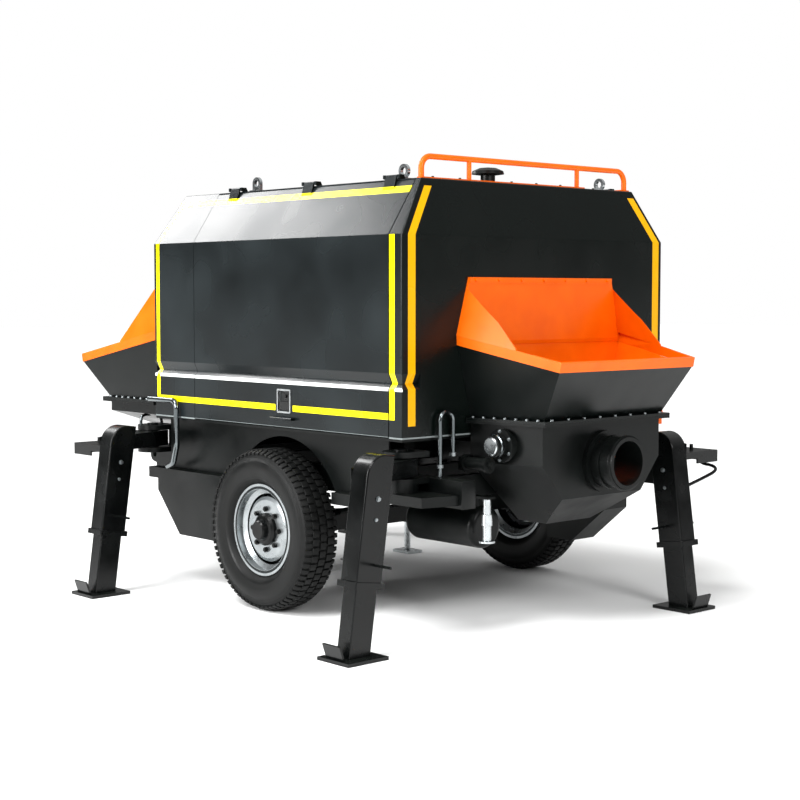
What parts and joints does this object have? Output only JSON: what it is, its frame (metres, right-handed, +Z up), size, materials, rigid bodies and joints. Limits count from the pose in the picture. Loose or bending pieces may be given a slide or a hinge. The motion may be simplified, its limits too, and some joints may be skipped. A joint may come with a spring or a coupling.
{
  "type": "towable concrete pump",
  "caption": "Canopied trailer concrete pump on one axle, with a hopper at each end, delivery outlet, gull-wing doors and four swing-out outrigger stands.",
  "frame": {"origin": "on the ground, under the middle of the parked machine's box", "axes": "+X towards the delivery end, +Z up, -Y the left side"},
  "size_m": [3.195, 2.5964, 2.131],
  "materials": {
    "black_powder_coat": "satin powder coat",
    "black_chassis": "satin",
    "black_plastic": "matte",
    "orange_hopper": "satin",
    "black_leg": "satin",
    "orange_grate": "satin",
    "bright_steel": "polished",
    "silver_rim": "satin",
    "black_hub": "satin",
    "tyre_rubber": "matte",
    "cast_outlet": "painted",
    "grey_engine": "matte"
  },
  "bodies": {
    "chassis": {"canopy_roof": "black_powder_coat", "front_wall": "black_powder_coat", "rear_wall": "black_powder_coat", "front_side_panels": "black_powder_coat", "rear_corner_posts": "black_powder_coat", "chassis_frame": "black_chassis", "deck_plate": "black_chassis", "deck_pedestals": "black_chassis", "side_skirts": "black_chassis", "arm_brackets": "black_chassis", "tow_lugs": "black_chassis", "fuel_tank": "black_chassis", "jack_tube": "black_chassis", "breather_cap": "black_chassis", "rear_pump_box": "black_chassis", "front_pump_box": "black_chassis", "air_tank": "black_chassis", "water_tank": "black_chassis", "axle_beam": "black_chassis", "leaf_springs": "black_chassis", "rear_hopper_funnel": "orange_hopper", "rear_hopper_rim": "orange_hopper", "front_hopper_funnel": "orange_hopper", "front_hopper_rim": "orange_hopper", "roof_rail": "orange_hopper", "rear_lever": "orange_grate", "steel_pipes": "bright_steel", "drain_rod": "bright_steel", "lifting_eyes": "bright_steel", "delivery_outlet": "cast_outlet", "agitator_drive": "cast_outlet", "swing_cylinder": "cast_outlet", "engine_block": "grey_engine"},
    "wheel_left": {"tyre_left": "tyre_rubber", "rim_left": "silver_rim", "hub_left": "black_hub"},
    "wheel_right": {"tyre_right": "tyre_rubber", "rim_right": "silver_rim", "hub_right": "black_hub"},
    "door_left": {"door_left": "black_powder_coat", "latch_left": "black_plastic"},
    "door_right": {"door_right": "black_powder_coat", "latch_right": "black_plastic"},
    "leg_rear_left": {"leg_rear_left": "black_leg"},
    "leg_rear_right": {"leg_rear_right": "black_leg"},
    "leg_front_left": {"leg_front_left": "black_leg"},
    "leg_front_right": {"leg_front_right": "black_leg"},
    "foot_rear_left": {"foot_rear_left": "black_leg"},
    "foot_rear_right": {"foot_rear_right": "black_leg"},
    "foot_front_left": {"foot_front_left": "black_leg"},
    "foot_front_right": {"foot_front_right": "black_leg"},
    "rear_grate": {"rear_grate": "orange_grate"},
    "front_grate": {"front_grate": "orange_grate"},
    "agitator": {"agitator": "orange_hopper"},
    "jack_foot": {"jack_foot": "bright_steel"}
  },
  "joints": [
    {"name": "wheel_left_spin", "type": "hinge", "parent": "chassis", "child": "wheel_left", "pos_m": [0.1175, -0.76125, 0.3875], "axis": [0, 1, 0], "continuous": true},
    {"name": "wheel_right_spin", "type": "hinge", "parent": "chassis", "child": "wheel_right", "pos_m": [0.1175, 0.97475, 0.3875], "axis": [0, 1, 0], "continuous": true},
    {"name": "door_left_hinge", "type": "hinge", "parent": "chassis", "child": "door_left", "pos_m": [0.2335, -0.61725, 2.032], "axis": [-1, 0, 0], "range_deg": [0, 80]},
    {"name": "door_right_hinge", "type": "hinge", "parent": "chassis", "child": "door_right", "pos_m": [0.2335, 0.83075, 2.032], "axis": [1, 0, 0], "range_deg": [0, 80]},
    {"name": "leg_rear_left_swing", "type": "hinge", "parent": "chassis", "child": "leg_rear_left", "pos_m": [0.9775, -0.71325, 0.7], "axis": [0, 0, 1], "range_deg": [0, 90]},
    {"name": "leg_rear_right_swing", "type": "hinge", "parent": "chassis", "child": "leg_rear_right", "pos_m": [0.9775, 0.92675, 0.7], "axis": [0, 0, 1], "range_deg": [0, 90]},
    {"name": "leg_front_left_swing", "type": "hinge", "parent": "chassis", "child": "leg_front_left", "pos_m": [-0.9825, -0.71325, 0.7], "axis": [0, 0, -1], "range_deg": [0, 90]},
    {"name": "leg_front_right_swing", "type": "hinge", "parent": "chassis", "child": "leg_front_right", "pos_m": [-0.9825, 0.92675, 0.7], "axis": [0, 0, -1], "range_deg": [0, 90]},
    {"name": "foot_rear_left_slide", "type": "slide", "parent": "leg_rear_left", "child": "foot_rear_left", "axis": [0, 0.1392, 0.9903], "range_m": [0, 0.18]},
    {"name": "foot_rear_right_slide", "type": "slide", "parent": "leg_rear_right", "child": "foot_rear_right", "axis": [-0.1392, 0, 0.9903], "range_m": [0, 0.18]},
    {"name": "foot_front_left_slide", "type": "slide", "parent": "leg_front_left", "child": "foot_front_left", "axis": [0, 0.1392, 0.9903], "range_m": [0, 0.18]},
    {"name": "foot_front_right_slide", "type": "slide", "parent": "leg_front_right", "child": "foot_front_right", "axis": [0.1392, 0, 0.9903], "range_m": [0, 0.18]},
    {"name": "rear_grate_hinge", "type": "hinge", "parent": "chassis", "child": "rear_grate", "pos_m": [1.0915, 0.10675, 1.01], "axis": [0, -1, 0], "range_deg": [0, 80]},
    {"name": "front_grate_hinge", "type": "hinge", "parent": "chassis", "child": "front_grate", "pos_m": [-0.8965, 0.10675, 1.01], "axis": [0, 1, 0], "range_deg": [0, 80]},
    {"name": "agitator_spin", "type": "hinge", "parent": "chassis", "child": "agitator", "pos_m": [1.2475, 0.10675, 0.84], "axis": [0, 1, 0], "continuous": true},
    {"name": "jack_foot_slide", "type": "slide", "parent": "chassis", "child": "jack_foot", "axis": [0, 0, 1], "range_m": [0, 0.12]}
  ]
}
